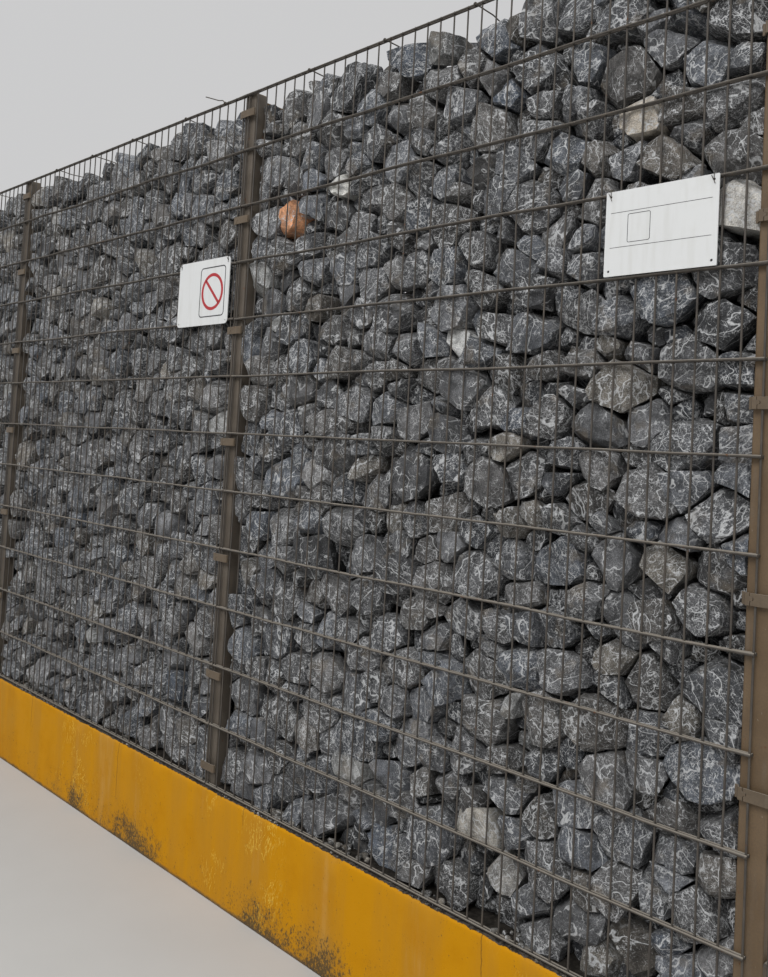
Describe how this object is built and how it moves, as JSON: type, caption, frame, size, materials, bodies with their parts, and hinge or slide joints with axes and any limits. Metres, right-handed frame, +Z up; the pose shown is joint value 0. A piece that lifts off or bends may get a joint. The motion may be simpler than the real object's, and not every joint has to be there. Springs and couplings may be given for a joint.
{
  "type": "gabion wall",
  "caption": "Free-standing gabion wall: broken limestone between brown welded wire mesh on clamped posts, over a painted concrete kerb, with blank sign plates.",
  "frame": {"origin": "middle of the kerb's underside", "axes": "+X along the wall, to the right when its front is faced; +Y from the front mesh to the rear mesh; +Z up"},
  "size_m": [5.678, 0.3444, 2.7641],
  "materials": {
    "painted_concrete": "matt",
    "brown_steel": "satin",
    "brown_wire": "satin",
    "brown_clamp": "satin",
    "limestone": "matt",
    "sign_plate": "satin"
  },
  "bodies": {
    "root": {"front_clamps_1": "brown_clamp", "front_clamps_2": "brown_clamp", "front_clamps_3": "brown_clamp", "front_clamps_4": "brown_clamp", "front_mesh_1_left": "brown_wire", "front_mesh_1_right": "brown_wire", "front_mesh_2_left": "brown_wire", "front_mesh_2_right": "brown_wire", "front_mesh_3_left": "brown_wire", "front_mesh_3_right": "brown_wire", "front_post_1": "brown_steel", "front_post_2": "brown_steel", "front_post_3": "brown_steel", "front_post_4": "brown_steel", "front_post_caps": "brown_steel", "kerb": "painted_concrete", "left_end_mesh": "brown_wire", "left_sign": "sign_plate", "post_ties": "brown_steel", "rear_clamps_1": "brown_clamp", "rear_clamps_2": "brown_clamp", "rear_clamps_3": "brown_clamp", "rear_clamps_4": "brown_clamp", "rear_mesh_1_left": "brown_wire", "rear_mesh_1_right": "brown_wire", "rear_mesh_2_left": "brown_wire", "rear_mesh_2_right": "brown_wire", "rear_mesh_3_left": "brown_wire", "rear_mesh_3_right": "brown_wire", "rear_post_1": "brown_steel", "rear_post_2": "brown_steel", "rear_post_3": "brown_steel", "rear_post_4": "brown_steel", "rear_post_caps": "brown_steel", "right_end_mesh": "brown_wire", "right_sign": "sign_plate", "stone_fill_1": "limestone", "stone_fill_2": "limestone", "stone_fill_3": "limestone", "top_rods_1": "brown_wire", "top_rods_2": "brown_wire", "top_rods_3": "brown_wire"}
  },
  "joints": []
}
